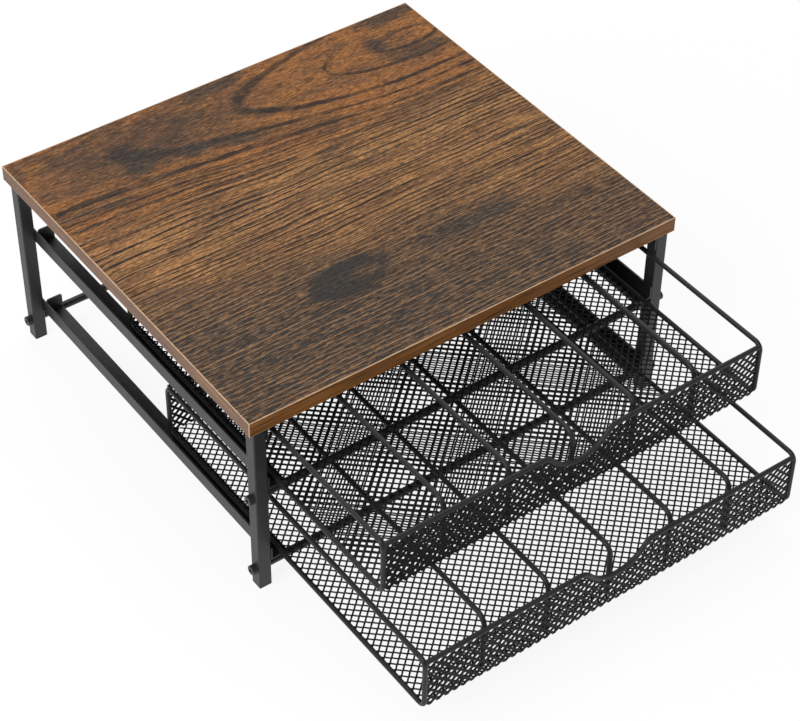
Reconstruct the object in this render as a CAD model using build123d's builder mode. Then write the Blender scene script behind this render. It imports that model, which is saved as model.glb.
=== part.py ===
from build123d import *
import math
import os

os.makedirs("parts", exist_ok=True)

# A two-tier stand: a board on a frame of square tube, with two wire drawers that slide
# on angle rails between the legs. Both drawers stand drawn out, the lower one further.
# Millimetres. +X is to the right seen from the front, +Y to the back and +Z up. The
# origin is on the ground, midway across, and midway between the front of the lower
# drawer and the back edge of the board.

# ---- Driving dimensions ---------------------------------------------------------------

# Board
board_width = 360.0
board_depth = 325.0
board_thickness = 12.0
edge_band_thickness = 0.8
edge_band_ease = 0.4

# Legs and their plastic feet
leg_size = 10.0
leg_wall = 1.2
leg_corner_radius = 1.0
leg_inset_x = 4.0
leg_inset_y = 2.0
foot_flange = 2.0
foot_plug_depth = 8.0
foot_edge_radius = 0.6
plug_clearance = 0.1

# Angle rails, with a tab bent up at the back that stops the drawer
lower_floor_z = 25.0
tier_gap = 21.0
headroom = 8.7
rail_thickness = 1.2
rail_wall_height = 11.0
rail_flange = 14.0
rail_bend_radius = 0.8
stop_tab_height = 12.0
stop_tab_corner = 1.5
stop_tab_gap = 2.3

# Crossbars between the legs, and the socket screws that hold them
crossbar_wall = 1.0
crossbar_gap = 3.8
bolt_diameter = 4.0
bolt_clearance = 0.2
thread_clearance = 0.05
bolt_reach = 12.0
thread_run_out = 2.0
bolt_head_diameter = 7.5
bolt_head_height = 4.0
bolt_head_chamfer = 0.4
bolt_socket_flats = 3.0
bolt_socket_depth = 2.2

# Angle brackets under the board, and their screws
bracket_plate = 22.0
bracket_flange = 12.0
bracket_thickness = 1.5
screw_diameter = 3.5
screw_clearance = 0.3
screw_reach = 9.0
screw_head_diameter = 7.0
screw_head_height = 2.0
screw_head_round = 1.0

# Drawers
drawer_height = 48.0
drawer_side_clearance = 5.3
drawer_proud = 2.0
running_clearance = 0.3
stop_clearance = 0.5
upper_extension = 116.5
lower_extension = 162.5
wire_diameter = 3.6
side_bend_radius = 5.5
rim_drop = 1.0
weld_depth = 0.8
divider_count = 5
divider_bend_radius = 8.0
divider_setback = 9.0
scoop_width = 66.0
scoop_depth = 17.0
scoop_shoulder_radius = 12.0

# Mesh sheets: staggered diamond openings
mesh_thickness = 1.0
mesh_strand = 1.8
panel_pitch_x = 9.0
panel_pitch_z = 8.0
panel_border = 2.2
floor_strand = 3.4
floor_pitch_x = 26.0
floor_pitch_y = 20.0
floor_side_border = 3.5
floor_end_border = 11.0

# ---- Sizes and places worked out from them --------------------------------------------

upper_floor_z = lower_floor_z + drawer_height + tier_gap
board_bottom_z = upper_floor_z + running_clearance + drawer_height + headroom

# Distances from the board's middle, before the whole is placed along Y
front_edge = -board_depth / 2
closed_front = front_edge - drawer_proud
board_middle_y = -(closed_front - lower_extension + board_depth / 2) / 2

leg_outer_x = board_width / 2 - leg_inset_x
leg_inner_x = leg_outer_x - leg_size
leg_centre_x = leg_outer_x - leg_size / 2
leg_centre_y = board_depth / 2 - leg_inset_y - leg_size / 2
leg_height = board_bottom_z - foot_flange

crossbar_diameter = bolt_diameter + 2 * crossbar_wall
crossbar_drop = rail_thickness + crossbar_gap + crossbar_diameter / 2
lower_crossbar_z = lower_floor_z - crossbar_drop
upper_crossbar_z = upper_floor_z - crossbar_drop

rail_front_y = board_middle_y - leg_centre_y - leg_size / 2
rail_back_y = board_middle_y + leg_centre_y + leg_size / 2
stop_face_y = rail_back_y - leg_size - stop_tab_gap - rail_thickness

closed_front_y = board_middle_y + closed_front
drawer_length = stop_face_y - stop_clearance - closed_front_y
drawer_half_width = leg_inner_x - rail_thickness - drawer_side_clearance
wire_radius = wire_diameter / 2
side_wire_x = drawer_half_width - wire_radius
# Rims and mesh sheets end here, welded a little way into the side frames' wires
mesh_half_width = drawer_half_width - wire_diameter + weld_depth
divider_pitch = 2 * side_wire_x / (divider_count + 1)

# The scoop's rim falls through a shoulder arc on each side into one bowl arc
scoop_half = scoop_width / 2
scoop_angle = 2 * math.atan(scoop_depth / scoop_half)
scoop_bowl_radius = scoop_half / math.sin(scoop_angle) - scoop_shoulder_radius

SIDES = {"left": -1, "right": 1}
ENDS = {"front": -1, "rear": 1}


def save(part, node):
    """Label a finished piece and write it as one file."""
    part.label = node
    export_step(part, f"parts/{node}.step")


# ---- Board ----------------------------------------------------------------------------

core_width = board_width - 2 * edge_band_thickness
core_depth = board_depth - 2 * edge_band_thickness
screw_inset = bracket_plate / 2
screw_x = leg_inner_x - screw_inset
screw_y = leg_centre_y + leg_size / 2 - screw_inset
screw_centres = [
    (side * screw_x, board_middle_y + end * screw_y)
    for side in SIDES.values()
    for end in ENDS.values()
]

with BuildPart() as top_board:
    with BuildSketch(Plane.XY.offset(board_bottom_z)):
        with Locations((0, board_middle_y)):
            Rectangle(core_width, core_depth)
    extrude(amount=board_thickness)
    with BuildSketch(Plane.XY.offset(board_bottom_z)):
        with Locations(*screw_centres):
            Circle(screw_diameter / 2 + thread_clearance)
    extrude(amount=screw_reach + screw_clearance, mode=Mode.SUBTRACT)
save(top_board.part, "top_board")

for end_name, end in ENDS.items():
    with BuildPart() as long_band:
        with BuildSketch(Plane.XY.offset(board_bottom_z)):
            with Locations((0, board_middle_y + end * (board_depth - edge_band_thickness) / 2)):
                Rectangle(board_width, edge_band_thickness)
        extrude(amount=board_thickness)
        outer_face = long_band.faces().filter_by(Axis.Y).sort_by(Axis.Y)[-1 if end > 0 else 0]
        fillet(outer_face.edges(), radius=edge_band_ease)
    save(long_band.part, f"edge_band_{end_name}")

for side_name, side in SIDES.items():
    with BuildPart() as short_band:
        with BuildSketch(Plane.XY.offset(board_bottom_z)):
            with Locations((side * (board_width - edge_band_thickness) / 2, board_middle_y)):
                Rectangle(edge_band_thickness, core_depth)
        extrude(amount=board_thickness)
        outer_face = short_band.faces().filter_by(Axis.X).sort_by(Axis.X)[-1 if side > 0 else 0]
        fillet(outer_face.edges().filter_by(Axis.Y), radius=edge_band_ease)
    save(short_band.part, f"edge_band_{side_name}")

# ---- Legs, feet and board brackets ----------------------------------------------------

leg_bore = leg_size - 2 * leg_wall
for end_name, end in ENDS.items():
    bolt_levels = [lower_crossbar_z]
    if end_name == "front":
        bolt_levels.append(upper_crossbar_z)
    for side_name, side in SIDES.items():
        corner = f"{end_name}_{side_name}"
        leg_x = side * leg_centre_x
        leg_y = board_middle_y + end * leg_centre_y

        with BuildPart() as leg:
            with BuildSketch(Plane.XY.offset(foot_flange)):
                with Locations((leg_x, leg_y)):
                    RectangleRounded(leg_size, leg_size, leg_corner_radius)
                    Rectangle(leg_bore, leg_bore, mode=Mode.SUBTRACT)
            extrude(amount=leg_height)
            with BuildSketch(Plane.YZ.offset(leg_x)):
                with Locations(*[(leg_y, level) for level in bolt_levels]):
                    Circle(bolt_diameter / 2 + bolt_clearance)
            extrude(amount=leg_size, both=True, mode=Mode.SUBTRACT)
        save(leg.part, f"leg_{corner}")

        with BuildPart() as foot:
            with BuildSketch(Plane.XY):
                with Locations((leg_x, leg_y)):
                    RectangleRounded(leg_size, leg_size, leg_corner_radius)
            extrude(amount=foot_flange)
            fillet(foot.faces().sort_by(Axis.Z)[0].edges(), radius=foot_edge_radius)
            with BuildSketch(Plane.XY.offset(foot_flange)):
                with Locations((leg_x, leg_y)):
                    Rectangle(leg_bore - 2 * plug_clearance, leg_bore - 2 * plug_clearance)
            extrude(amount=foot_plug_depth)
        save(foot.part, f"foot_{corner}")

        plate_x = side * (leg_inner_x - bracket_plate / 2)
        plate_y = board_middle_y + end * (leg_centre_y + leg_size / 2 - bracket_plate / 2)
        flange_x = side * (leg_inner_x - bracket_thickness / 2)
        with BuildPart() as bracket:
            with BuildSketch(Plane.XY.offset(board_bottom_z)):
                with Locations((plate_x, plate_y)):
                    Rectangle(bracket_plate, bracket_plate)
                    Circle(screw_diameter / 2 + screw_clearance, mode=Mode.SUBTRACT)
            extrude(amount=-bracket_thickness)
            with BuildSketch(Plane.XY.offset(board_bottom_z)):
                with Locations((flange_x, plate_y)):
                    Rectangle(bracket_thickness, bracket_plate)
            extrude(amount=-bracket_flange)
        save(bracket.part, f"board_bracket_{corner}")

with BuildPart() as board_screws:
    with BuildSketch(Plane.XY.offset(board_bottom_z - bracket_thickness)):
        with Locations(*screw_centres):
            Circle(screw_head_diameter / 2)
    extrude(amount=-screw_head_height)
    fillet(
        board_screws.faces().filter_by(Axis.Z).group_by(Axis.Z)[0].edges(),
        radius=screw_head_round,
    )
    with BuildSketch(Plane.XY.offset(board_bottom_z - bracket_thickness)):
        with Locations(*screw_centres):
            Circle(screw_diameter / 2)
    extrude(amount=bracket_thickness + screw_reach)
save(board_screws.part, "board_screws")

# ---- Angle rails ----------------------------------------------------------------------

rail_inner_x = leg_inner_x - rail_thickness
tab_width = rail_flange - rail_thickness
for tier_name, floor_z in {"lower": lower_floor_z, "upper": upper_floor_z}.items():
    for side_name, side in SIDES.items():
        wall_x = side * (leg_inner_x - rail_thickness / 2)
        flange_x = side * (leg_inner_x - rail_flange / 2)
        tab_x = side * (rail_inner_x - tab_width / 2)
        floor_underside_z = floor_z - rail_thickness

        with BuildPart() as rail:
            with BuildSketch(Plane.XZ.offset(-rail_back_y)):
                with Locations((wall_x, floor_underside_z + rail_wall_height / 2)):
                    Rectangle(rail_thickness, rail_wall_height)
            extrude(amount=rail_back_y - rail_front_y)
            with BuildSketch(Plane.XZ.offset(-(stop_face_y + rail_thickness))):
                with Locations((flange_x, floor_z - rail_thickness / 2)):
                    Rectangle(rail_flange, rail_thickness)
            extrude(amount=stop_face_y + rail_thickness - rail_front_y)
            # The bend along the rail, eased inside
            bend_point = (side * rail_inner_x, board_middle_y, floor_z)
            inner_bend = rail.edges().filter_by(Axis.Y).sort_by_distance(bend_point)[0]
            fillet(inner_bend, radius=rail_bend_radius)
            # The stop tab, with its two top corners eased
            with BuildSketch(Plane.XZ.offset(-(stop_face_y + rail_thickness))):
                with Locations((tab_x, floor_z + stop_tab_height / 2)):
                    tab_face = Rectangle(tab_width, stop_tab_height)
                fillet(tab_face.vertices().group_by(Axis.Y)[-1], radius=stop_tab_corner)
            extrude(amount=rail_thickness)
        save(rail.part, f"rail_{tier_name}_{side_name}")

# ---- Crossbars and their screws -------------------------------------------------------

crossbars = {
    "front_lower": (board_middle_y - leg_centre_y, lower_crossbar_z),
    "front_upper": (board_middle_y - leg_centre_y, upper_crossbar_z),
    "rear_lower": (board_middle_y + leg_centre_y, lower_crossbar_z),
}
tapped_depth = bolt_reach + thread_run_out
for bar_name, (bar_y, bar_z) in crossbars.items():
    with BuildPart() as crossbar:
        with BuildSketch(Plane.YZ):
            with Locations((bar_y, bar_z)):
                Circle(crossbar_diameter / 2)
        extrude(amount=leg_inner_x, both=True)
        for side in SIDES.values():
            with BuildSketch(Plane.YZ.offset(side * leg_inner_x)):
                with Locations((bar_y, bar_z)):
                    Circle(bolt_diameter / 2 + thread_clearance)
            extrude(amount=-side * tapped_depth, mode=Mode.SUBTRACT)
    save(crossbar.part, f"crossbar_{bar_name}")

    with BuildPart() as bolts:
        for side in SIDES.values():
            with BuildSketch(Plane.YZ.offset(side * leg_outer_x)):
                with Locations((bar_y, bar_z)):
                    Circle(bolt_head_diameter / 2)
            extrude(amount=side * bolt_head_height)
            with BuildSketch(Plane.YZ.offset(side * leg_outer_x)):
                with Locations((bar_y, bar_z)):
                    Circle(bolt_diameter / 2)
            extrude(amount=-side * (leg_size + bolt_reach))
            head_face = bolts.faces().filter_by(Axis.X).sort_by(Axis.X)[-1 if side > 0 else 0]
            chamfer(head_face.edges(), length=bolt_head_chamfer)
            with BuildSketch(Plane.YZ.offset(side * (leg_outer_x + bolt_head_height))):
                with Locations((bar_y, bar_z)):
                    RegularPolygon(radius=bolt_socket_flats / 2, side_count=6, major_radius=False)
            extrude(amount=-side * bolt_socket_depth, mode=Mode.SUBTRACT)
    save(bolts.part, f"bolts_{bar_name}")


# ---- Drawers --------------------------------------------------------------------------


def scoop_line(rim_z, half_length):
    """Draw the front rim's centre line, which dips in the middle, in the active line builder."""
    shoulder = scoop_shoulder_radius
    low_z = rim_z - scoop_depth
    bend_x = scoop_half - shoulder * math.sin(scoop_angle)
    bend_z = rim_z - shoulder * (1 - math.cos(scoop_angle))
    ease_x = scoop_half - shoulder * math.sin(scoop_angle / 2)
    ease_z = rim_z - shoulder * (1 - math.cos(scoop_angle / 2))
    Line((-half_length, rim_z), (-scoop_half, rim_z))
    ThreePointArc((-scoop_half, rim_z), (-ease_x, ease_z), (-bend_x, bend_z))
    ThreePointArc((-bend_x, bend_z), (0, low_z), (bend_x, bend_z))
    ThreePointArc((bend_x, bend_z), (ease_x, ease_z), (scoop_half, rim_z))
    Line((scoop_half, rim_z), (half_length, rim_z))


def scoop_height(x, rim_z):
    """Height of the front rim's centre line at x."""
    from_middle = abs(x)
    if from_middle >= scoop_half:
        return rim_z
    if from_middle > scoop_half - scoop_shoulder_radius * math.sin(scoop_angle):
        run = scoop_half - from_middle
        return rim_z - scoop_shoulder_radius + math.sqrt(scoop_shoulder_radius**2 - run**2)
    sagitta = scoop_bowl_radius - math.sqrt(scoop_bowl_radius**2 - from_middle**2)
    return rim_z - scoop_depth + sagitta


def diamond_places(low_x, high_x, low_y, high_y, pitch_x, pitch_y):
    """Centres of a staggered pattern of diamonds that fits in a field, centred in it."""
    middle_x = (low_x + high_x) / 2
    middle_y = (low_y + high_y) / 2
    rows = int((high_y - low_y - pitch_y) / pitch_y)
    columns = int((high_x - low_x) / pitch_x) + 1
    places = []
    for row in range(-rows, rows + 1):
        stagger = pitch_x / 2 if row % 2 else 0.0
        y = middle_y + row * pitch_y / 2
        for column in range(-columns, columns + 1):
            x = middle_x + stagger + column * pitch_x
            if low_x + pitch_x / 2 <= x <= high_x - pitch_x / 2:
                places.append((x, y))
    return places


def diamond_loops(places, pitch_x, pitch_y, strand):
    """Outlines of the diamond openings, which leave strands of the given width between them."""
    across = pitch_x * pitch_y / math.hypot(pitch_x, pitch_y)
    share = 1 - strand / across
    half_x = share * pitch_x / 2
    half_y = share * pitch_y / 2
    return [
        Wire.make_polygon([(x + half_x, y), (x, y + half_y), (x - half_x, y), (x, y - half_y)])
        for x, y in places
    ]


def build_drawer(tier_name, floor_z, extension):
    """Make the separate pieces of one drawer, which stands drawn out by extension."""
    front_y = closed_front_y - extension
    back_y = front_y + drawer_length
    bottom_z = floor_z + running_clearance
    low_wire_z = bottom_z + wire_radius
    high_wire_z = bottom_z + drawer_height - wire_radius
    rim_z = high_wire_z - rim_drop
    front_wire_y = front_y + wire_radius
    back_wire_y = back_y - wire_radius
    sheet_low_z = low_wire_z - mesh_thickness / 2

    for side_name, side in SIDES.items():
        with BuildPart() as side_frame:
            with BuildLine(Plane.YZ.offset(side * side_wire_x)) as loop:
                FilletPolyline(
                    (front_wire_y, low_wire_z),
                    (back_wire_y, low_wire_z),
                    (back_wire_y, high_wire_z),
                    (front_wire_y, high_wire_z),
                    radius=side_bend_radius,
                    close=True,
                )
            with BuildSketch(Plane(origin=loop.line @ 0, z_dir=loop.line % 0)):
                Circle(wire_radius)
            sweep()
        save(side_frame.part, f"{tier_name}_side_frame_{side_name}")

    with BuildPart() as front_rim:
        with BuildLine(Plane.XZ.offset(-front_wire_y)) as rim_run:
            scoop_line(rim_z, mesh_half_width)
        with BuildSketch(Plane(origin=rim_run.line @ 0, z_dir=rim_run.line % 0)):
            Circle(wire_radius)
        sweep()
    save(front_rim.part, f"{tier_name}_front_rim")

    with BuildPart() as rear_rim:
        with BuildSketch(Plane.YZ):
            with Locations((back_wire_y, rim_z)):
                Circle(wire_radius)
        extrude(amount=mesh_half_width, both=True)
    save(rear_rim.part, f"{tier_name}_rear_rim")

    # The mesh stands in one bent sheet: a floor, a front panel and a rear panel
    floor_front_y = front_wire_y + mesh_thickness / 2
    floor_back_y = back_wire_y - mesh_thickness / 2
    openings = diamond_places(
        -mesh_half_width + floor_side_border,
        mesh_half_width - floor_side_border,
        floor_front_y + floor_end_border,
        floor_back_y - floor_end_border,
        floor_pitch_x,
        floor_pitch_y,
    )
    floor_loops = diamond_loops(openings, floor_pitch_x, floor_pitch_y, floor_strand)
    with BuildPart() as mesh_floor:
        with BuildSketch(Plane.XY.offset(sheet_low_z)):
            with BuildLine(mode=Mode.PRIVATE) as floor_outline:
                Polyline(
                    (-mesh_half_width, floor_front_y),
                    (mesh_half_width, floor_front_y),
                    (mesh_half_width, floor_back_y),
                    (-mesh_half_width, floor_back_y),
                    close=True,
                )
            add(Face(floor_outline.wire(), floor_loops))
        extrude(amount=mesh_thickness)
    save(mesh_floor.part, f"{tier_name}_mesh_floor")

    field = (
        -mesh_half_width + panel_border,
        mesh_half_width - panel_border,
        sheet_low_z + panel_border,
        rim_z - wire_radius,
    )
    panel_openings = diamond_places(*field, panel_pitch_x, panel_pitch_z)
    rim_cover = wire_radius + panel_pitch_z / 2
    scooped_openings = [
        (x, z)
        for x, z in panel_openings
        if z + rim_cover
        <= min(scoop_height(x + step * panel_pitch_x / 2, rim_z) for step in (-1, 0, 1))
    ]

    front_loops = diamond_loops(scooped_openings, panel_pitch_x, panel_pitch_z, mesh_strand)
    with BuildPart() as mesh_front:
        with BuildSketch(Plane.XZ.offset(-floor_front_y)):
            with BuildLine(mode=Mode.PRIVATE) as front_outline:
                scoop_line(rim_z, mesh_half_width)
                Polyline(
                    (mesh_half_width, rim_z),
                    (mesh_half_width, sheet_low_z),
                    (-mesh_half_width, sheet_low_z),
                    (-mesh_half_width, rim_z),
                )
            add(Face(front_outline.wire(), front_loops))
        extrude(amount=mesh_thickness)
    save(mesh_front.part, f"{tier_name}_mesh_front")

    rear_loops = diamond_loops(panel_openings, panel_pitch_x, panel_pitch_z, mesh_strand)
    with BuildPart() as mesh_rear:
        with BuildSketch(Plane.XZ.offset(-(floor_back_y + mesh_thickness))):
            with BuildLine(mode=Mode.PRIVATE) as rear_outline:
                Polyline(
                    (-mesh_half_width, sheet_low_z),
                    (mesh_half_width, sheet_low_z),
                    (mesh_half_width, rim_z),
                    (-mesh_half_width, rim_z),
                    close=True,
                )
            add(Face(rear_outline.wire(), rear_loops))
        extrude(amount=mesh_thickness)
    save(mesh_rear.part, f"{tier_name}_mesh_rear")

    # Dividers: each stands on the mesh floor at both ends and runs at the top between
    foot_z = sheet_low_z + mesh_thickness
    for index in range(divider_count):
        divider_x = (index - (divider_count - 1) / 2) * divider_pitch
        with BuildPart() as divider:
            with BuildLine(Plane.YZ.offset(divider_x)) as run:
                FilletPolyline(
                    (front_y + divider_setback, foot_z),
                    (front_y + divider_setback, high_wire_z),
                    (back_y - divider_setback, high_wire_z),
                    (back_y - divider_setback, foot_z),
                    radius=divider_bend_radius,
                )
            with BuildSketch(Plane(origin=run.line @ 0, z_dir=run.line % 0)):
                Circle(wire_radius)
            sweep()
        save(divider.part, f"{tier_name}_divider_{index + 1}")

    print(tier_name, "floor openings", len(openings), "front openings", len(scooped_openings))


build_drawer("lower", lower_floor_z, lower_extension)
build_drawer("upper", upper_floor_z, upper_extension)

print("board middle y", board_middle_y, "closed front y", closed_front_y)
print("drawer", 2 * drawer_half_width, drawer_length, drawer_height, "pitch", divider_pitch)
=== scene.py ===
import math

import bmesh
import bpy
from bpy.props import FloatProperty, FloatVectorProperty, PointerProperty
from mathutils import Matrix, Vector


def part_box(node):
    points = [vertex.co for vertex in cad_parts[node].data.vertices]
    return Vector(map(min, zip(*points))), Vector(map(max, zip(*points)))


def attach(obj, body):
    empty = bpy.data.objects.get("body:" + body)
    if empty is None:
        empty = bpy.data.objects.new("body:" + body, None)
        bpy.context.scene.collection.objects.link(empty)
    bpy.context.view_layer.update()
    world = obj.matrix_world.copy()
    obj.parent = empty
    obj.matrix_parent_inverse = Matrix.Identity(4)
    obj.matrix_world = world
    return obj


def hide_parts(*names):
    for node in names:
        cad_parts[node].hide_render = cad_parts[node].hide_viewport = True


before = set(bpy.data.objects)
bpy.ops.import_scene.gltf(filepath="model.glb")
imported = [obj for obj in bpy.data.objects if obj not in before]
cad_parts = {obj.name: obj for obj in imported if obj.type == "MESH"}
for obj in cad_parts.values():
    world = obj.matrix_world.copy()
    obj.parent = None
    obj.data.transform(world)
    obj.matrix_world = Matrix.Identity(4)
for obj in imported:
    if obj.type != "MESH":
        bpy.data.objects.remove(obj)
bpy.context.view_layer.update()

# Dresses a two-drawer stand: a wood-print board with edge bands, a powder-coated steel
# frame, and wire drawers lined with expanded mesh. Lengths are in metres; the finishes
# are drawn in millimetres.

bl_info = {
    "name": "Pod Drawer Stand",
    "version": (1, 0, 0),
    "blender": (4, 5, 0),
    "location": "3D View > Sidebar > Pod Stand",
    "description": "Finishes, expanded mesh and welds for a two-drawer countertop stand",
    "category": "Object",
}

MM = 0.001
TIERS = ("lower", "upper")
SIDES = {"left": -1, "right": 1}
ENDS = ("front", "rear")
DIVIDERS = 5


# ---- Settings -------------------------------------------------------------------------


def length(name, description, millimetres):
    """A size in millimetres, kept in metres."""
    return FloatProperty(name=name, description=description, default=millimetres * MM, unit="LENGTH")


def angle(name, description, degrees):
    """An angle in degrees, kept in radians."""
    return FloatProperty(name=name, description=description, default=math.radians(degrees), subtype="ANGLE")


def power(name, description, watts):
    """A lamp's power."""
    return FloatProperty(name=name, description=description, default=watts, unit="POWER")


def plain(name, description, value):
    """A plain number."""
    return FloatProperty(name=name, description=description, default=value)


def colour(name, description, red, green, blue):
    """A colour in linear light."""
    return FloatVectorProperty(
        name=name,
        description=description,
        default=(red, green, blue),
        subtype="COLOR",
        size=3,
        min=0,
        max=1,
    )


class BoardSettings(bpy.types.PropertyGroup):
    gold: colour("Gold", "The print's light wood in the loops", 0.315, 0.120, 0.029)
    tan: colour("Tan", "The print's light wood between the straight lines", 0.345, 0.163, 0.055)
    brown: colour("Brown", "The print's middle wood", 0.120, 0.054, 0.024)
    late_wood: colour("Late wood", "The dark rings and lines", 0.020, 0.012, 0.009)
    stain: colour("Stain", "Smoky patches and the knot", 0.026, 0.024, 0.022)
    weathered: colour("Weathered", "The grey-brown front of the board", 0.054, 0.036, 0.027)
    # Fleck also colours the painted highlight beside the fine lines
    fleck: colour("Fleck", "Short pale fibres", 0.38, 0.20, 0.085)
    long_band: colour("Long band", "The outer face of the front and rear bands", 0.225, 0.088, 0.020)
    # The side bands' pinker, greyer tone is painted sheen of the lamp at the left, on the same print as the
    # front and rear bands
    short_band: colour("Short band", "The outer face of the side bands", 0.150, 0.078, 0.046)
    trimmed: colour("Trimmed edge", "The bands' eased edges, cut through the print", 0.50, 0.33, 0.20)
    backer: colour("Backer", "The board's underside", 0.045, 0.032, 0.025)


class SteelSettings(bpy.types.PropertyGroup):
    coat: colour("Coat", "Powder coat on the legs, rails and crossbars", 0.019, 0.019, 0.020)
    wire: colour("Wire", "Powder coat on the drawers' wires", 0.016, 0.016, 0.017)
    mesh: colour("Mesh", "Powder coat on the expanded mesh", 0.006, 0.006, 0.0065)
    oxide: colour("Oxide", "Black oxide on the screws", 0.016, 0.016, 0.017)
    plastic: colour("Plastic", "The moulded feet", 0.014, 0.014, 0.014)


class NetSettings(bpy.types.PropertyGroup):
    floor_pitch_x: length("Floor pitch, across", "From diamond to diamond along X", 7.2)
    floor_pitch_y: length("Floor pitch, along", "From diamond to diamond along Y", 6.4)
    floor_strand: length("Floor strand", "Width of the floor's strands", 1.2)
    floor_twist: length("Floor twist", "How far the floor's strands stand out of the sheet", 0.3)
    panel_pitch_x: length("Panel pitch, across", "From diamond to diamond along X", 6.8)
    panel_pitch_z: length("Panel pitch, up", "From diamond to diamond along Z", 7.2)
    panel_strand: length("Panel strand", "Width of the front and rear panels' strands", 1.8)
    panel_twist: length("Panel twist", "How far the panels' strands stand out of the sheet", 0.32)
    gauge: length("Gauge", "Thickness of the sheet", 0.5)
    scoop_width: length("Scoop width", "Width of the dip in the front rim", 66.0)
    shoulder: length("Scoop shoulder", "Radius of the rim where the dip starts", 12.0)
    wire: length("Wire", "Diameter of the drawers' wires", 3.6)


class StageSettings(bpy.types.PropertyGroup):
    azimuth: angle("Azimuth", "Turn of the view", -36.49)
    elevation: angle("Elevation", "View above level", 43.11)
    roll: angle("Roll", "Tilt of the picture", 0.82)
    distance: length("Distance", "From the camera to the point it looks at", 1666.8)
    aim_height: length("Aim height", "Height of the middle of the view", 90.0)
    aim_up: length("Aim up", "How far up the picture the camera aims", -21.3)
    aim_side: length("Aim side", "How far to the right of the picture the camera aims", -1.3)
    lens: plain("Lens", "Focal length on a 36 mm wide sensor, in mm", 105.0)
    key: power("Key light", "Power of the lamp to the left", 30.0)
    top: power("Top light", "Power of the lamp overhead", 16.0)
    ambient: plain("Ambient", "Strength of the light from all round", 0.55)
    floor_glow: plain("Floor glow", "Share of plain white in the floor", 0.88)


SETTINGS = {
    "stand_board": BoardSettings,
    "stand_steel": SteelSettings,
    "stand_net": NetSettings,
    "stand_stage": StageSettings,
}


# ---- Shader nets ----------------------------------------------------------------------


class Value:
    """A socket's output, on which Python's operators add Math nodes."""

    def __init__(self, finish, socket):
        self.finish = finish
        self.socket = socket

    def __add__(self, other):
        return self.finish.math("ADD", self, other)

    def __sub__(self, other):
        return self.finish.math("SUBTRACT", self, other)

    def __mul__(self, other):
        return self.finish.math("MULTIPLY", self, other)

    def __truediv__(self, other):
        return self.finish.math("DIVIDE", self, other)

    def __radd__(self, other):
        return self.finish.math("ADD", other, self)

    def __rsub__(self, other):
        return self.finish.math("SUBTRACT", other, self)

    def __rmul__(self, other):
        return self.finish.math("MULTIPLY", other, self)

    def __abs__(self):
        return self.finish.math("ABSOLUTE", self)


class Finish:
    """The node net of one material."""

    def __init__(self, name):
        self.material = bpy.data.materials.new(name)
        self.material.use_nodes = True
        self.tree = self.material.node_tree
        self.tree.nodes.clear()

    def node(self, kind, settings, values):
        """Add a node: its settings come first, then its sockets' values or links."""
        made = self.tree.nodes.new("ShaderNode" + kind)
        for name, value in settings.items():
            setattr(made, name, value)
        for name, value in values.items():
            if isinstance(value, Value):
                self.tree.links.new(value.socket, made.inputs[name])
            else:
                made.inputs[name].default_value = value
        return made

    def value(self, made, output=0):
        return Value(self, made.outputs[output])

    def math(self, operation, *values):
        return self.value(self.node("Math", {"operation": operation}, dict(enumerate(values))))

    def place(self):
        """The point's X, Y and Z on the object, in millimetres."""
        point = self.node("TexCoord", {}, {}).outputs["Object"]
        split = self.node("SeparateXYZ", {}, {0: Value(self, point)})
        return [self.value(split, axis) / MM for axis in range(3)]

    def point(self, x, y, z=0.0):
        return self.value(self.node("CombineXYZ", {}, {0: x, 1: y, 2: z}))

    def noise(self, point, detail=2.0, roughness=0.5, flat=True):
        """Soft noise from 0 to 1; flat noise ignores the point's Z."""
        made = self.node(
            "TexNoise",
            {"noise_dimensions": "2D" if flat else "3D"},
            {"Vector": point, "Scale": 1.0, "Detail": detail, "Roughness": roughness},
        )
        return self.value(made)

    def most(self, first, second):
        return self.math("MAXIMUM", first, second)

    def step(self, value, start, end):
        """Rise smoothly from 0 to 1 between start and end, which may be in either order."""
        ends = {"Value": value, "From Min": start, "From Max": end}
        return self.value(self.node("MapRange", {"interpolation_type": "SMOOTHSTEP"}, ends))

    def mix(self, share, first, second):
        """Go from the first colour to the second as the share goes from 0 to 1."""
        made = self.node("Mix", {"data_type": "RGBA"}, {0: share, 6: first, 7: second})
        return self.value(made, 2)

    def scaled(self, tint, factor):
        """A colour made lighter or darker."""
        start = tint if isinstance(tint, Value) else tint[:3]
        made = self.node("VectorMath", {"operation": "SCALE"}, {0: start, "Scale": factor})
        return self.value(made)

    def bump(self, height, depth):
        """A normal from a height of 0 to 1, which stands for this depth in millimetres."""
        made = self.node("Bump", {}, {"Strength": 1.0, "Distance": depth * MM, "Height": height})
        return self.value(made)

    def done(self, base, roughness, normal, constants):
        """Close the net with a surface shader and give the material."""
        sockets = {"Base Color": base, "Roughness": roughness, "Normal": normal, **constants}
        shader = self.value(self.node("BsdfPrincipled", {}, sockets))
        self.node("OutputMaterial", {}, {"Surface": shader})
        return self.material


def solid(tint):
    """A colour with full alpha, as sockets take it."""
    return (*tint, 1.0)


# ---- Finishes -------------------------------------------------------------------------

# The figure of the print, in millimetres from the board's middle and from its front edge
LOOP_HEART = (150.0, 285.0)
LOOP_SPREAD = 58.0
LOOP_REACH = 165.0
# Dark rings round the loops' heart: radius, half width, depth, and its share on the far side
RINGS = (
    (10, 6.0, 0.85, 0.2),
    (24, 5.0, 0.90, 0.1),
    (42, 5.6, 1.00, 0.8),
    (53, 4.0, 0.95, 0.3),
    (64, 3.4, 1.00, 0.3),
    (72, 2.2, 0.60, 0.3),
)
# The fine lines: from line to line, and how far round a line its painted highlight lies
LINE_SPACING = 4.0
HIGHLIGHT_TURN = 1.9
# Where a change over the board starts and where it is full, measured from the front edge
LOOPED = (165.0, 240.0)
GOLDEN = (185.0, 235.0)
WORN = (134.0, 76.0)
BLOTCHED = (84.0, 30.0)
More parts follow.
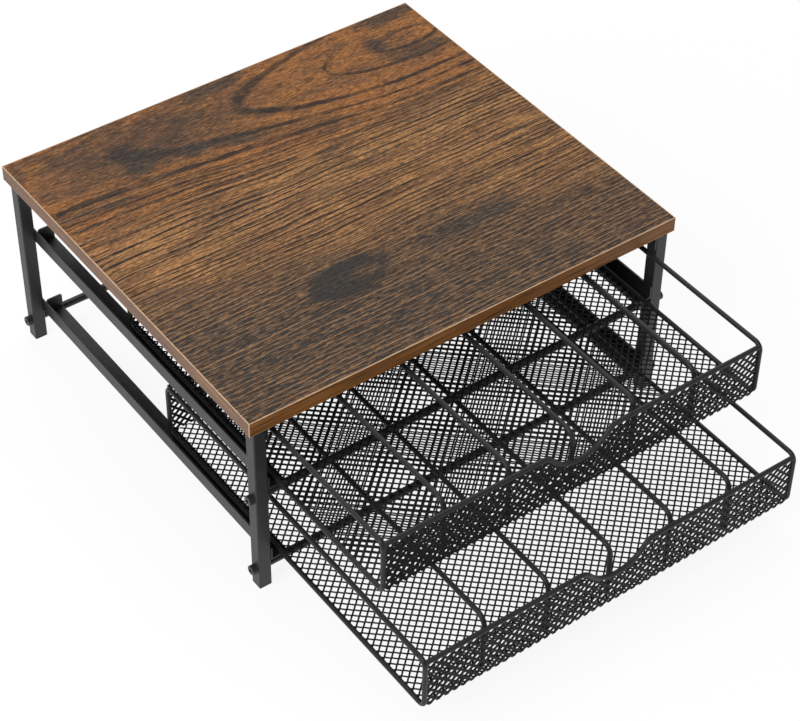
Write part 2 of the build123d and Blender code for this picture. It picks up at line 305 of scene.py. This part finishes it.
# Smoky patches: centre, half length, half width, slope and depth
STAINS = (
    (-85, 286, 105, 38, 0.0, 0.74),
    (-96, 272, 24, 19, 0.2, 1.0),
    (-57, 263, 20, 9, 0.0, 0.95),
    (-26, 254, 26, 7, -0.3, 0.85),
    (-52, 288, 38, 8, 0.2, 0.85),
    (-8, 316, 40, 9, 0.1, 0.85),
    (-125, 312, 56, 4, 0.25, 0.75),
    (-176, 306, 7, 12, 0.0, 0.7),
    (-148, 242, 34, 3, -0.08, 0.8),
    (-166, 228, 18, 3, -0.1, 0.7),
    (-160, 137, 26, 7, -0.05, 0.6),
    (-36, 215, 26, 3, -0.05, 0.45),
    (30, 205, 24, 5, 0.25, 0.6),
    (5, 163, 30, 5, -0.2, 0.35),
    (145, 145, 26, 3, 0.0, 0.45),
    (94, 113, 16, 3, 0.0, 0.5),
    (150, 268, 32, 9, 0.0, 0.85),
    (127, 290, 9, 13, -0.3, 0.85),
    (156, 319, 34, 9, 0.0, 0.9),
    (50, 79, 40, 9, 0.0, 0.8),
    (84, 80, 18, 10, 0.0, 0.98),
    (50, 22, 32, 2.5, 0.02, 0.95),
    (97, 14, 13, 11, -0.4, 0.8),
    (101, 45, 20, 3, 0.0, 0.75),
)
# Brown clouds between the lines, the knot, and the lighter wood in its heart
SMUDGES = (
    (-78, 188, 34, 8, -0.1, 0.7),
    (116, 213, 38, 5, 0.0, 0.8),
    (-30, 130, 60, 8, 0.0, 0.4),
)
KNOT = (-46, 80, 36, 19, 0.06, 1.0)
KNOT_HEART = (-31, 79, 13, 6, 0.0, 0.6)

# How far the finishes stand in relief, in millimetres
PRINT_RELIEF = 0.07
BAND_RELIEF = 0.05
COAT_RELIEF = 0.09
# How much the wood prints and the coats mirror
PRINT_SHINE = 0.18
BAND_SHINE = 0.20
COAT_SHINE = 0.4


def board_print(settings):
    """A rustic wood print: loops at the rear, straight lines, and a weathered front."""
    finish = Finish("wood_print")
    noise, step, mix, point, most = finish.noise, finish.step, finish.mix, finish.point, finish.most
    low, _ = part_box("top_board")
    u, y, z = finish.place()
    v = y - low.y / MM

    wander = noise(point(u / 90, v / 45)) - 0.5
    ripple = noise(point(u / 16, v / 5)) - 0.5
    grain_u = u + wander * 16
    grain_v = v + wander * 5 + ripple * 0.9

    # Each ring is a long oval round a heart at the rear right, open to the right
    spread = LOOP_SPREAD * finish.math("TANH", (LOOP_HEART[0] - grain_u) / LOOP_REACH)
    rise = grain_v - LOOP_HEART[1]
    ring = finish.math("SQRT", spread * spread + rise * rise)
    # How fast the ring grows over the board, so that a band is as wide as it says
    steep = 0.18 + 0.82 * abs(rise) / ring
    taper = 1 - 0.5 * step(u, 0, 90)
    broken = 0.62 + 0.38 * step(noise(point(u / 34 + 4, v / 20)), 0.36, 0.52)
    far_side = step(rise, 2, 20)
    bands = 0.0
    for radius, width, depth, share in RINGS:
        gap = abs(ring - radius) / (steep * taper) + ripple * 3.5
        bands = most(bands, depth * step(gap, width, 0.3 * width) * (1 - (1 - share) * far_side))
    bands = bands * broken

    # Fine dark lines lie along the rings at the rear and run straight from there forward
    looped = step(v, *LOOPED)
    layer = looped * ring + (1 - looped) * (LOOP_HEART[1] - grain_v)
    drift = noise(point(u / 130 + 3, layer / 8), 1.0) - 0.5
    turn = (layer + drift * 3.0) * (2 * math.pi / LINE_SPACING)
    strength = step(noise(point(u / 95 + 7, layer / 3.4), 1.0), 0.34, 0.54)
    away = 0.18 + 0.82 * step(layer, 50, 84)
    regular = step(finish.math("SINE", turn), 0.24, 0.58) * strength
    stray = step(noise(point(u / 100, layer / 1.3), 1.0), 0.575, 0.62)
    lines = most(regular, 0.85 * stray) * away
    # A painted highlight beside each line, as if the line were pressed in and its edge caught the light
    painted_highlight = step(finish.math("SINE", turn + HIGHLIGHT_TURN), 0.55, 0.95) * strength * away

    # Short fibres, pale and dark, and finer grit along the grain
    fibre = noise(point(u / 11, v / 0.85), 2.0, 0.55)
    pale = step(fibre, 0.54, 0.62)
    dark = step(fibre, 0.46, 0.38)
    grit = noise(point(u / 4.0, v / 0.75), 1.0)

    # Smoky patches with frayed edges
    fray = noise(point(u / 15, v / 3.4), 3.0, 0.6) - 0.5

    def patch(place, frayed=1.5, inner=0.45, outer=1.3):
        middle_u, middle_v, half_u, half_v, slope, depth = place
        run = (u - middle_u) / half_u
        climb = (v - middle_v - slope * (u - middle_u)) / half_v
        far = finish.math("SQRT", run * run + climb * climb)
        return depth * step(far + fray * frayed, outer, inner)

    def patches(places):
        total = 0.0
        for place in places:
            total = most(total, patch(place))
        return total

    knot = patch(KNOT, 0.8, 0.80, 1.08) * (1 - patch(KNOT_HEART))
    smoke = most(patches(STAINS), knot)

    # The front is grey and worn, most at the left, where it breaks into blotches
    worn = step(v + 0.14 * u + wander * 50 + fray * 30, *WORN)
    corner = step(v + 0.30 * u + fray * 30, *BLOTCHED)
    blotch = corner * step(noise(point(u / 15, v / 3.2 + 5), 3.0, 0.6), 0.42, 0.52)

    tone = step(noise(point(u / 55, grain_v / 14), 3.0, 0.55), 0.34, 0.60)
    light = mix(step(v, *GOLDEN), solid(settings.tan), solid(settings.gold))
    tint = mix(0.30 + 0.70 * tone, solid(settings.brown), light)
    tint = mix(patches(SMUDGES), tint, solid(settings.brown))
    tint = mix(0.92 * worn, tint, solid(settings.weathered))
    tint = mix(lines * (0.98 - 0.25 * worn), tint, solid(settings.late_wood))
    tint = mix(bands * 0.98, tint, solid(settings.late_wood))
    tint = mix(dark * 0.55, tint, solid(settings.late_wood))
    tint = mix(most(smoke, blotch) * 0.92, tint, solid(settings.stain))
    calm = 1 - most(most(0.9 * knot, 0.6 * bands), 0.4 * smoke)
    # Pale fibres are the print's own; the pale line beside each dark line is painted highlight
    fleck_and_highlight = most(pale * (0.30 + 0.12 * worn), 0.55 * painted_highlight) * calm
    tint = mix(fleck_and_highlight, tint, solid(settings.fleck))
    tint = finish.scaled(tint, 0.95 + 0.8 * (step(grit, 0.25, 0.75) - 0.5))
    under = step(z, low.z / MM + 0.5, low.z / MM + 0.2)
    tint = mix(under, tint, solid(settings.backer))

    pores = most(lines, dark)
    roughness = 0.50 + 0.12 * pores + 0.10 * (grit - 0.5)
    normal = finish.bump(0.6 * pale - 0.8 * pores + 0.3 * grit, PRINT_RELIEF)
    return finish.done(tint, roughness, normal, {"Specular IOR Level": PRINT_SHINE})


def edge_print(settings, name, along_x):
    """The bands' print: fine grain along the band, and a pale line where it is trimmed."""
    finish = Finish(name)
    low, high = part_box("top_board")
    x, y, z = finish.place()
    along, across = (x, y) if along_x else (y, x)
    wander = finish.noise(finish.point(along / 70, z / 9)) - 0.5
    level = z + wander * 5
    streak = finish.noise(finish.point(along / 75, level / 1.1), 2.0, 0.6)
    cloud = finish.noise(finish.point(along / 42, level / 5), 3.0, 0.6)
    fibre = finish.noise(finish.point(along / 3.5, z / 0.35), 1.0)
    depth = 0.75 if along_x else 0.4
    # On the side bands the tone holds painted sheen of the lamp at the left
    band = settings.long_band if along_x else settings.short_band
    tint = finish.scaled(solid(band), 0.70 + 0.62 * cloud)
    tint = finish.mix(depth * finish.step(streak, 0.50, 0.68), tint, solid(settings.late_wood))
    tint = finish.mix(0.35 * finish.step(streak, 0.46, 0.30), tint, solid(settings.fleck))
    tint = finish.scaled(tint, 0.85 + 0.3 * fibre)
    top = finish.step(z, high.z / MM - 0.45, high.z / MM - 0.25)
    bottom = finish.step(z, low.z / MM + 0.5, low.z / MM + 0.25)
    middle = (low.x + high.x) / 2 / MM
    half = (high.x - low.x) / 2 / MM
    ends = finish.step(abs(x - middle), half + 0.25, half + 0.5) if along_x else 0.0
    trimmed = finish.most(finish.most(top, 0.75 * bottom), ends)
    worn = 0.75 + 0.25 * finish.step(finish.noise(finish.point(along / 6, across / 6)), 0.35, 0.6)
    tint = finish.mix(trimmed * worn, tint, solid(settings.trimmed))
    normal = finish.bump(streak + 0.4 * fibre, BAND_RELIEF)
    return finish.done(tint, 0.44 + 0.2 * (cloud - 0.5), normal, {"Specular IOR Level": BAND_SHINE})


def coated(name, tint, sheen, peel, gloss=COAT_SHINE):
    """Black coated metal or moulded plastic: a pebbled skin with uneven tone and specks."""
    finish = Finish(name)
    x, y, z = finish.place()
    pebble = finish.noise(finish.point(x / peel, y / peel, z / peel), 2.0, 0.55, flat=False)
    patch = finish.noise(finish.point(x / 38, y / 38, z / 38), 3.0, 0.6, flat=False)
    speck = finish.noise(finish.point(x / 0.8, y / 0.8, z / 0.8), 1.0, 0.5, flat=False)
    base = finish.scaled(solid(tint), 0.72 + 0.40 * patch + 0.30 * finish.step(speck, 0.62, 0.74))
    roughness = sheen + 0.14 * (patch - 0.5) + 0.08 * (pebble - 0.5)
    return finish.done(base, roughness, finish.bump(pebble, COAT_RELIEF), {"Specular IOR Level": gloss})


# ---- Mesh tools -----------------------------------------------------------------------

# Corners nearer than this to a cutting plane count as on it
SNAP = 1e-7
# How many rows of diamonds are kept past a net's edge until it is cut
MARGIN = 1.5


def everything(bm):
    return bm.verts[:] + bm.edges[:] + bm.faces[:]


def finished(bm, name, body, material, replaced=()):
    """Turn a bmesh into a piece that rides on a body, stands for nodes and has its finish."""
    mesh = bpy.data.meshes.new(name)
    bmesh.ops.recalc_face_normals(bm, faces=bm.faces[:])
    bm.to_mesh(mesh)
    bm.free()
    mesh.materials.append(material)
    piece = bpy.data.objects.new(name, mesh)
    bpy.context.scene.collection.objects.link(piece)
    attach(piece, body)
    if replaced:
        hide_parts(*replaced)
    return piece


def paint(nodes, material):
    """Give CAD nodes their finish."""
    for node in nodes:
        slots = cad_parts[node].data.materials
        slots.clear()
        slots.append(material)


def cut(bm, geometry, point, outward):
    """Cut geometry at a plane and drop what lies outward of it."""
    plane = {"plane_co": point, "plane_no": outward}
    bmesh.ops.bisect_plane(bm, geom=geometry, dist=SNAP, clear_outer=True, clear_inner=False, **plane)


def expanded_sheet(width, height, pitch_x, pitch_y, strand, twist):
    """A flat net of staggered diamonds, cut open all round and centred on the origin in XY.

    The strands are twisted out of the sheet the same way, as in sheared and drawn metal.
    """
    count = math.ceil(width / pitch_x + height / pitch_y) + 2
    bm = bmesh.new()
    bmesh.ops.create_grid(bm, x_segments=count, y_segments=count, size=count / 2)
    turn = Matrix.Rotation(math.radians(45), 4, "Z")
    bmesh.ops.rotate(bm, cent=(0, 0, 0), matrix=turn, verts=bm.verts[:])
    diagonal = math.sqrt(2)
    bmesh.ops.scale(bm, vec=(pitch_x / diagonal, pitch_y / diagonal, 1), verts=bm.verts[:])
    beyond = [
        face
        for face in bm.faces
        if abs(face.calc_center_median().x) > width / 2 + MARGIN * pitch_x
        or abs(face.calc_center_median().y) > height / 2 + MARGIN * pitch_y
    ]
    bmesh.ops.delete(bm, geom=beyond, context="FACES")
    holes = bm.faces[:]
    bmesh.ops.inset_individual(bm, faces=holes, thickness=strand / 2, use_even_offset=True)
    for hole in holes:
        middle = hole.calc_center_median()
        reach = max(corner.co.y for corner in hole.verts) - middle.y
        for corner in hole.verts:
            corner.co.z = twist * (corner.co.y - middle.y) / reach
    bmesh.ops.delete(bm, geom=holes, context="FACES_ONLY")
    for outward in (Vector((1, 0, 0)), Vector((-1, 0, 0))):
        cut(bm, everything(bm), outward * width / 2, outward)
    for outward in (Vector((0, 1, 0)), Vector((0, -1, 0))):
        cut(bm, everything(bm), outward * height / 2, outward)
    return bm


def thickened(bm, gauge):
    """Give a flat net its gauge, half to each side."""
    bmesh.ops.recalc_face_normals(bm, faces=bm.faces[:])
    bmesh.ops.solidify(bm, geom=bm.faces[:], thickness=gauge)
    heights = [vertex.co.z for vertex in bm.verts]
    middle = (max(heights) + min(heights)) / 2
    bmesh.ops.translate(bm, vec=(0, 0, -middle), verts=bm.verts[:])
    return bm


def scoop_fall(x, width, depth, shoulder):
    """How far the rim's centre line lies under its ends at x."""
    half = width / 2
    turn = 2 * math.atan(depth / half)
    bowl = half / math.sin(turn) - shoulder
    run = abs(x)
    if run >= half:
        return 0.0
    if run > half - shoulder * math.sin(turn):
        return shoulder - math.sqrt(shoulder**2 - (half - run) ** 2)
    return depth - bowl + math.sqrt(bowl**2 - run**2)


def weld_bead(bm, place, size):
    """A small rounded bead with its middle at a place."""
    shape = Matrix.Translation(place) @ Matrix.Diagonal((*size, 1))
    bmesh.ops.create_icosphere(bm, subdivisions=2, radius=0.5, matrix=shape)


# ---- Operators ------------------------------------------------------------------------


class STAND_OT_board(bpy.types.Operator):
    """Finish the board and its four edge bands"""

    bl_idname = "pod_stand.board"
    bl_label = "Board and Edge Bands"

    def execute(self, context):
        settings = context.scene.stand_board
        paint(["top_board"], board_print(settings))
        paint(["edge_band_front", "edge_band_rear"], edge_print(settings, "long_band_print", True))
        paint(["edge_band_left", "edge_band_right"], edge_print(settings, "short_band_print", False))
        return {"FINISHED"}


class STAND_OT_frame(bpy.types.Operator):
    """Finish the legs, rails, crossbars and brackets, their screws and the feet"""

    bl_idname = "pod_stand.frame"
    bl_label = "Steel Frame"

    def execute(self, context):
        settings = context.scene.stand_steel
        stand = [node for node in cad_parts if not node.startswith(TIERS)]
        coat = coated("powder_coat", settings.coat, 0.44, 1.1)
        paint([n for n in stand if n.startswith(("leg", "rail", "crossbar", "board_bracket"))], coat)
        oxide = coated("black_oxide", settings.oxide, 0.36, 0.6)
        paint([n for n in stand if n.startswith("bolts") or n == "board_screws"], oxide)
        moulded = coated("moulded_foot", settings.plastic, 0.58, 0.5)
        paint([n for n in stand if n.startswith("foot")], moulded)
        self.weld_rails(coat)
        return {"FINISHED"}

    def weld_rails(self, coat):
        """Lay a bead along the top and the foot of each rail's wall, where it meets a leg."""
        bead = Vector((1.1, 8.0, 1.1)) * MM
        wall_height = 11.0 * MM
        sunk = 0.1 * MM
        for tier in TIERS:
            for side, sign in SIDES.items():
                rail_low, rail_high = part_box(f"rail_{tier}_{side}")
                wall_x = max(rail_low.x * sign, rail_high.x * sign) * sign
                bm = bmesh.new()
                for end in ENDS:
                    leg_low, leg_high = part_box(f"leg_{end}_{side}")
                    middle_y = (leg_low.y + leg_high.y) / 2
                    for z in (rail_low.z, rail_low.z + wall_height):
                        weld_bead(bm, Vector((wall_x - sign * sunk, middle_y, z)), bead)
                for face in bm.faces:
                    face.smooth = True
                finished(bm, f"rail_welds_{tier}_{side}", "stand", coat)


class STAND_OT_drawers(bpy.types.Operator):
    """Finish the drawers' wires and weld their ends"""

    bl_idname = "pod_stand.drawers"
    bl_label = "Drawer Wires"

    def execute(self, context):
        settings = context.scene.stand_steel
        coat = coated("wire_coat", settings.wire, 0.40, 0.9, 0.28)
        for tier in TIERS:
            wires = [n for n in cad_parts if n.startswith(tier) and "mesh" not in n]
            paint(wires, coat)
            self.weld_wires(tier, context.scene.stand_net, coat)
        return {"FINISHED"}

    def weld_wires(self, tier, net, coat):
        """Lay beads at the rims' ends and under the dividers' feet."""
        rim_bead = Vector((1.6 * MM, net.wire * 0.99, net.wire * 0.99))
        foot_bead = Vector((net.wire * 1.35, net.wire * 1.35, 1.6 * MM))
        raised = 0.2 * MM
        bm = bmesh.new()
        for rim in ("front_rim", "rear_rim"):
            low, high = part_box(f"{tier}_{rim}")
            for x in (low.x, high.x):
                place = Vector((x, (low.y + high.y) / 2, high.z - net.wire / 2))
                weld_bead(bm, place, rim_bead)
        for number in range(1, DIVIDERS + 1):
            low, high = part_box(f"{tier}_divider_{number}")
            for y in (low.y + net.wire / 2, high.y - net.wire / 2):
                place = Vector(((low.x + high.x) / 2, y, low.z + raised))
                weld_bead(bm, place, foot_bead)
        for face in bm.faces:
            face.smooth = True
        finished(bm, f"{tier}_wire_welds", f"{tier}_drawer", coat)


class STAND_OT_mesh(bpy.types.Operator):
    """Make the expanded mesh of both drawers: a floor, a front with its scoop, and a rear"""

    bl_idname = "pod_stand.mesh"
    bl_label = "Expanded Mesh"

    def execute(self, context):
        net = context.scene.stand_net
        coat = coated("mesh_coat", context.scene.stand_steel.mesh, 0.40, 0.7, 0.12)
        for tier in TIERS:
            self.floor(tier, net, coat)
            self.panel(tier, "front", net, coat)
            self.panel(tier, "rear", net, coat)
        return {"FINISHED"}

    def floor(self, tier, net, coat):
        node = f"{tier}_mesh_floor"
        low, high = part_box(node)
        pitches = (net.floor_pitch_x, net.floor_pitch_y)
        bm = expanded_sheet(high.x - low.x, high.y - low.y, *pitches, net.floor_strand, net.floor_twist)
        thickened(bm, net.gauge)
        bmesh.ops.translate(bm, vec=(low + high) / 2, verts=bm.verts[:])
        finished(bm, f"{tier}_floor_net", f"{tier}_drawer", coat, [node])

    def panel(self, tier, end, net, coat):
        node = f"{tier}_mesh_{end}"
        low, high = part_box(node)
        height = high.z - low.z
        pitches = (net.panel_pitch_x, net.panel_pitch_z)
        bm = expanded_sheet(high.x - low.x, height, *pitches, net.panel_strand, net.panel_twist)
        if end == "front":
            rim_low, rim_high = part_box(f"{tier}_front_rim")
            depth = rim_high.z - rim_low.z - net.wire
            self.cut_scoop(bm, height / 2, net.scoop_width, depth, net.shoulder)
        thickened(bm, net.gauge)
        upright = Matrix.Rotation(math.radians(90), 4, "X")
        bmesh.ops.rotate(bm, cent=(0, 0, 0), matrix=upright, verts=bm.verts[:])
        bmesh.ops.translate(bm, vec=(low + high) / 2, verts=bm.verts[:])
        finished(bm, f"{tier}_{end}_net", f"{tier}_drawer", coat, [node])

    def cut_scoop(self, bm, top, width, depth, shoulder):
        """Cut the net along the rim's dip, slice by slice."""
        slices = 22
        stations = [width * (number / slices - 0.5) for number in range(slices + 1)]
        for x in stations:
            plane = {"plane_co": (x, 0, 0), "plane_no": (1, 0, 0)}
            bmesh.ops.bisect_plane(bm, geom=everything(bm), dist=SNAP, **plane)
        for left, right in zip(stations, stations[1:]):
            left_top = Vector((left, top - scoop_fall(left, width, depth, shoulder), 0))
            right_top = Vector((right, top - scoop_fall(right, width, depth, shoulder), 0))
            inside = [f for f in bm.faces if left < f.calc_center_median().x < right]
            edges = {edge for face in inside for edge in face.edges}
            corners = {vertex for face in inside for vertex in face.verts}
            outward = Vector((0, 0, 1)).cross(right_top - left_top)
            cut(bm, [*corners, *edges, *inside], left_top, outward)


# The stage, in metres: the floor's half size, the lamps' widths and places, and their aim
FLOOR_HALF = 8.0
FLOOR_TINT = (0.97, 0.97, 0.97, 1.0)
KEY_SIZE = 1.3
KEY_PLACE = Vector((-1.7, -0.3, 1.5))
TOP_SIZE = 1.6
TOP_PLACE = Vector((0.5, 0.9, 1.9))
LAMP_AIM = Vector((0.0, 0.0, 0.08))
# The camera's sensor, in millimetres
SENSOR_WIDTH = 36.0


class STAND_OT_stage(bpy.types.Operator):
    """Set up the floor, the lamps and the camera"""

    bl_idname = "pod_stand.stage"
    bl_label = "Stage, Lamps and Camera"

    def execute(self, context):
        settings = context.scene.stand_stage
        self.floor(settings)
        self.surroundings(context.scene, settings)
        self.lamp("key_lamp", settings.key, KEY_SIZE, KEY_PLACE)
        self.lamp("top_lamp", settings.top, TOP_SIZE, TOP_PLACE)
        self.camera(context.scene, settings)
        context.scene.view_settings.view_transform = "Standard"
        return {"FINISHED"}

    def floor(self, settings):
        bm = bmesh.new()
        bmesh.ops.create_grid(bm, x_segments=1, y_segments=1, size=FLOOR_HALF)
        mesh = bpy.data.meshes.new("floor")
        bm.to_mesh(mesh)
        bm.free()
        finish = Finish("pale_floor")
        x, y, _ = finish.place()
        fleck = finish.noise(finish.point(x / 40, y / 40), 3.0)
        tint = finish.scaled(FLOOR_TINT, 0.99 + 0.02 * fleck)
        matt = finish.value(finish.node("BsdfDiffuse", {}, {"Color": tint}))
        white = finish.value(finish.node("Emission", {}, {"Color": (1, 1, 1, 1), "Strength": 1.0}))
        rays = finish.node("LightPath", {}, {}).outputs
        seen = finish.most(Value(finish, rays["Is Camera Ray"]), Value(finish, rays["Is Glossy Ray"]))
        seen = finish.most(seen, Value(finish, rays["Is Transmission Ray"]))
        share = seen * settings.floor_glow
        surface = finish.value(finish.node("MixShader", {}, {0: share, 1: matt, 2: white}))
        finish.node("OutputMaterial", {}, {"Surface": surface})
        mesh.materials.append(finish.material)
        floor = bpy.data.objects.new("floor", mesh)
        bpy.context.scene.collection.objects.link(floor)

    def surroundings(self, scene, settings):
        """White where it is seen, and a plain soft light on the object."""
        world = bpy.data.worlds.new("surroundings")
        world.use_nodes = True
        scene.world = world
        nodes, links = world.node_tree.nodes, world.node_tree.links
        nodes.clear()
        seen, light = nodes.new("ShaderNodeBackground"), nodes.new("ShaderNodeBackground")
        seen.inputs["Strength"].default_value = 1.0
        seen.inputs["Color"].default_value = (1, 1, 1, 1)
        light.inputs["Strength"].default_value = settings.ambient
        light.inputs["Color"].default_value = (1, 1, 1, 1)
        rays = nodes.new("ShaderNodeLightPath").outputs
        either = nodes.new("ShaderNodeMath")
        either.operation = "MAXIMUM"
        links.new(rays["Is Camera Ray"], either.inputs[0])
        links.new(rays["Is Transmission Ray"], either.inputs[1])
        mix, output = nodes.new("ShaderNodeMixShader"), nodes.new("ShaderNodeOutputWorld")
        links.new(either.outputs[0], mix.inputs[0])
        links.new(light.outputs[0], mix.inputs[1])
        links.new(seen.outputs[0], mix.inputs[2])
        links.new(mix.outputs[0], output.inputs["Surface"])

    def lamp(self, name, power, size, place):
        data = bpy.data.lights.new(name, "AREA")
        data.energy = power
        data.size = size
        lamp = bpy.data.objects.new(name, data)
        bpy.context.scene.collection.objects.link(lamp)
        lamp.location = place
        aim = LAMP_AIM - place
        lamp.rotation_euler = aim.to_track_quat("-Z", "Y").to_euler()

    def camera(self, scene, settings):
        turn, lift = settings.azimuth, settings.elevation
        back = Vector((math.sin(turn) * math.cos(lift), -math.cos(turn) * math.cos(lift), math.sin(lift)))
        level = Vector((math.cos(turn), math.sin(turn), 0))
        right = Matrix.Rotation(settings.roll, 3, back) @ level
        up = back.cross(right)
        data = bpy.data.cameras.new("camera")
        data.sensor_fit = "HORIZONTAL"
        data.sensor_width = SENSOR_WIDTH
        data.lens = settings.lens
        camera = bpy.data.objects.new("camera", data)
        scene.collection.objects.link(camera)
        aim = Vector((0, 0, settings.aim_height)) + up * settings.aim_up + right * settings.aim_side
        pose = Matrix((right, up, back)).transposed().to_4x4()
        camera.matrix_world = Matrix.Translation(aim + back * settings.distance) @ pose
        scene.camera = camera


class STAND_PT_panel(bpy.types.Panel):
    """Lists the stand's pieces and settings"""

    bl_idname = "STAND_PT_panel"
    bl_label = "Pod Drawer Stand"
    bl_space_type = "VIEW_3D"
    bl_region_type = "UI"
    bl_category = "Pod Stand"

    def draw(self, context):
        for operator in OPERATORS:
            self.layout.operator(operator.bl_idname)
        for name, group in SETTINGS.items():
            box = self.layout.box()
            for setting in group.__annotations__:
                box.prop(getattr(context.scene, name), setting)


OPERATORS = (STAND_OT_board, STAND_OT_frame, STAND_OT_drawers, STAND_OT_mesh, STAND_OT_stage)


def register():
    for item in (*SETTINGS.values(), *OPERATORS, STAND_PT_panel):
        bpy.utils.register_class(item)
    for name, group in SETTINGS.items():
        setattr(bpy.types.Scene, name, PointerProperty(type=group))


def unregister():
    for name in SETTINGS:
        delattr(bpy.types.Scene, name)
    for item in reversed((*SETTINGS.values(), *OPERATORS, STAND_PT_panel)):
        bpy.utils.unregister_class(item)


def main():
    register()
    bpy.ops.pod_stand.board()
    bpy.ops.pod_stand.frame()
    bpy.ops.pod_stand.drawers()
    bpy.ops.pod_stand.mesh()
    bpy.ops.pod_stand.stage()


if __name__ == "__main__":
    main()
